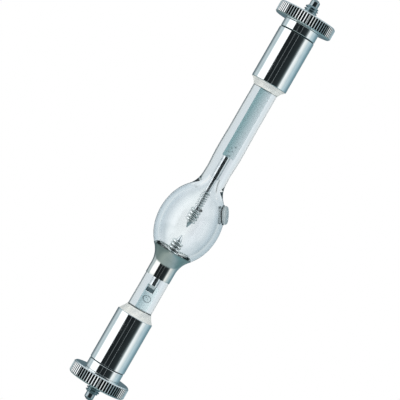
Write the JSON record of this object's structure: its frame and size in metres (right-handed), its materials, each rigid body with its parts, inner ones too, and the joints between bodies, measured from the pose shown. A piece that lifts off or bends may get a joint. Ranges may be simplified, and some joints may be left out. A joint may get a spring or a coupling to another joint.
{
  "type": "mercury arc lamp",
  "caption": "Short-arc mercury discharge lamp: quartz bulb between long shafts, electrodes, foil seals, plated bases with knurled nuts on threaded studs.",
  "frame": {"origin": "on the lamp's axis, in the plane of the lower knurled nut's outer face", "axes": "+Z along the lamp's axis from the coated lower end to the upper base; +X square to the seal foils' long edges, towards the side that carries the exhaust pip; the seal foils lie in the XZ plane"},
  "size_m": [0.0177, 0.0176, 0.1241],
  "materials": {
    "clear_quartz": "clear, fire polished",
    "reflecting_film": "fired metallic film, mirror-like, grey-green",
    "tungsten": "drawn and ground, dark grey",
    "tungsten_wire": "drawn wire, satin",
    "molybdenum_foil": "rolled and etched foil, satin, teal grey behind the quartz",
    "weld_tab_metal": "rolled strip, satin",
    "molybdenum_rod": "drawn rod, satin",
    "mercury": "liquid metal",
    "bright_nickel": "bright nickel plate, mirror polished",
    "nickel_knurl": "bright nickel plate over straight knurling",
    "cement": "matt, cream-white, fine grained"
  },
  "bodies": {
    "lamp": {"quartz_envelope": "clear_quartz", "heat_coating": "reflecting_film", "lower_electrode_rod": "tungsten", "upper_electrode_rod": "tungsten", "lower_heavy_winding": "tungsten_wire", "upper_heavy_winding": "tungsten_wire", "upper_fine_winding": "tungsten_wire", "lower_seal_foil": "molybdenum_foil", "upper_seal_foil": "molybdenum_foil", "lower_weld_tab": "weld_tab_metal", "lower_outer_lead": "molybdenum_rod", "upper_outer_lead": "molybdenum_rod", "mercury_bead": "mercury", "lower_base_sleeve": "bright_nickel", "upper_base_sleeve": "bright_nickel", "lower_end_plug": "bright_nickel", "upper_end_plug": "bright_nickel", "lower_cement": "cement", "upper_cement": "cement"},
    "lower_nut": {"lower_knurled_nut": "nickel_knurl"},
    "upper_nut": {"upper_knurled_nut": "nickel_knurl"}
  },
  "joints": [
    {"name": "lower_nut_turn", "type": "hinge", "parent": "lamp", "child": "lower_nut", "pos_m": [0, 0, 0.00175], "axis": [0, 0, -1], "range_deg": [0, 2880]},
    {"name": "upper_nut_turn", "type": "hinge", "parent": "lamp", "child": "upper_nut", "pos_m": [0, 0, 0.11325], "axis": [0, 0, 1], "range_deg": [0, 2880]}
  ]
}
